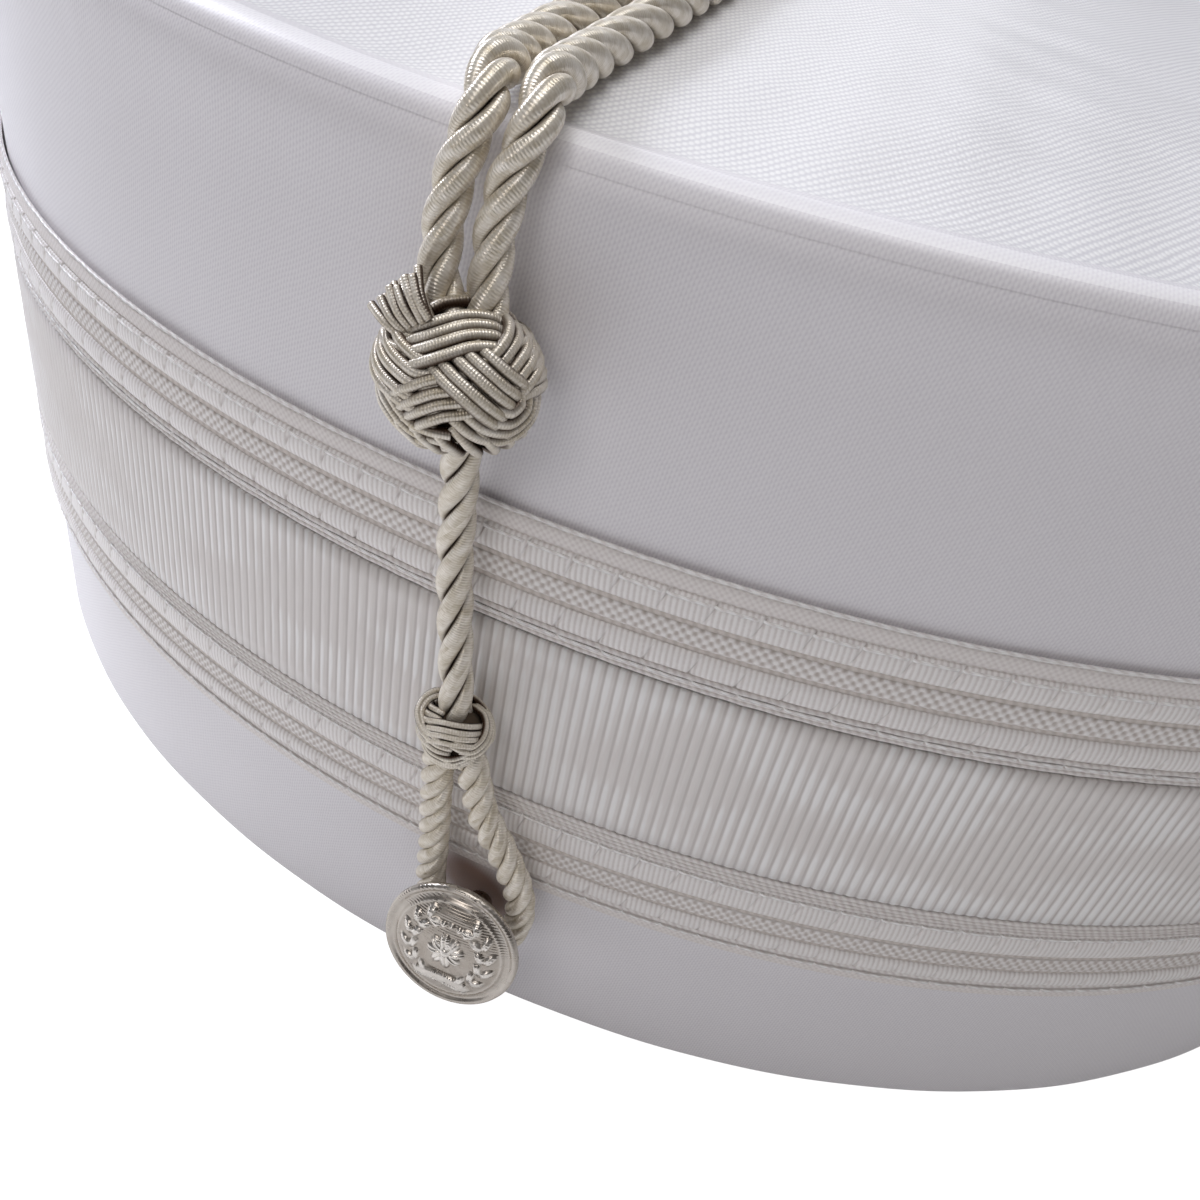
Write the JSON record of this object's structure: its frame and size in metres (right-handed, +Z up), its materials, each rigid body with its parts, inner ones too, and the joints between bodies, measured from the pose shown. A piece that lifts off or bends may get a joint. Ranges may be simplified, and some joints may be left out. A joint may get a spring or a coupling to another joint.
{
  "type": "masonic cap",
  "caption": "Oval satin pillbox cap with a trimmed ribbed band and a twisted cord set that crosses the crown and loops round a button on each side.",
  "frame": {"origin": "middle of the rim's underside, on the surface that the cap rests on", "axes": "+Z up out of the crown, +X along the cap's long axis, -Y towards the front button and its cords"},
  "size_m": [0.2112, 0.186, 0.1013],
  "materials": {
    "satin": "white satin with a fine twill face and a soft sheen",
    "ribbon": "warm white ribbed moire ribbon with a silky sheen",
    "braid": "warm white woven braid with floss rolls and a lace edge",
    "cord": "silver metallic thread wound round twisted strands, slightly warm",
    "button_metal": "polished silver-coloured metal with fine ruled lines and low relief"
  },
  "bodies": {
    "root": {"crown_side": "satin", "crown_top": "satin", "lower_braid": "braid", "ribbed_ribbon": "ribbon", "upper_braid": "braid", "crown_cord_left": "cord", "crown_cord_right": "cord", "slide_knot_front": "cord", "slide_knot_back": "cord", "drop_cord_front": "cord", "drop_cord_back": "cord", "small_knot_front": "cord", "small_knot_back": "cord", "button_loop_front": "cord", "button_loop_back": "cord", "button_front": "button_metal", "button_back": "button_metal"}
  },
  "joints": []
}
